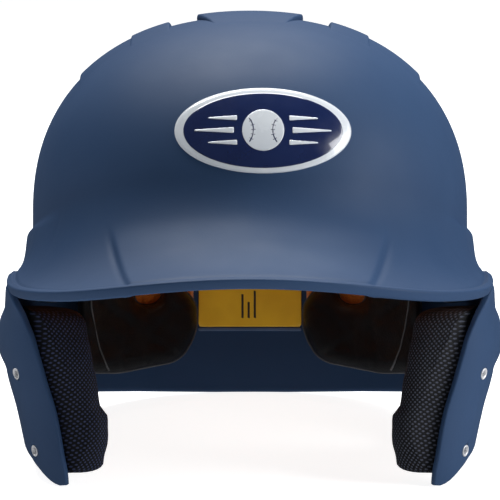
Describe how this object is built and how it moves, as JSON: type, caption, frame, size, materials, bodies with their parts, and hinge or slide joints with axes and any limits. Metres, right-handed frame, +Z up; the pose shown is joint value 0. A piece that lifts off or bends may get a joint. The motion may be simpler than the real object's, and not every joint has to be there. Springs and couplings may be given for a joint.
{
  "type": "batting helmet",
  "caption": "Double-flap batting helmet with brim, ribbed and vented crown, impact foam, comfort pads, mesh ear pads and face-guard inserts.",
  "frame": {"origin": "middle of the helmet's footprint on the table it rests on, at table height", "axes": "+Z up, -Y towards the brim, +X to the wearer's left; the helmet rests on both ear flaps and the nape"},
  "size_m": [0.2348, 0.3102, 0.2086],
  "materials": {
    "shell": "matte navy paint on moulded ABS",
    "badge": "gloss domed badge with a white rim and a plain emblem",
    "label": "satin printed film",
    "impact_foam": "closed-cell orange foam",
    "pad_foam": "soft black foam",
    "pad_skin": "embossed black synthetic leather",
    "mesh_fabric": "black spacer mesh",
    "backing_board": "matte black board",
    "hook_and_loop": "black hook-and-loop",
    "insert_metal": "nickel-plated steel"
  },
  "bodies": {
    "root": {"shell": "shell", "brim": "shell", "left_flap_front": "shell", "right_flap_front": "shell", "front_badge": "badge", "rear_label": "label", "front_impact_foam": "impact_foam", "rear_impact_foam": "impact_foam", "crown_impact_foam": "impact_foam", "left_impact_foam": "impact_foam", "right_impact_foam": "impact_foam", "brow_pad": "pad_skin", "crown_pad": "pad_skin", "left_temple_pad": "pad_skin", "right_temple_pad": "pad_skin", "left_rear_pad": "pad_foam", "right_rear_pad": "pad_foam", "left_ear_pad": "pad_foam", "right_ear_pad": "pad_foam", "left_ear_pad_cover": "mesh_fabric", "right_ear_pad_cover": "mesh_fabric", "left_ear_pad_backing": "backing_board", "right_ear_pad_backing": "backing_board", "left_ear_pad_patches": "hook_and_loop", "right_ear_pad_patches": "hook_and_loop", "left_guard_inserts": "insert_metal", "right_guard_inserts": "insert_metal"}
  },
  "joints": []
}
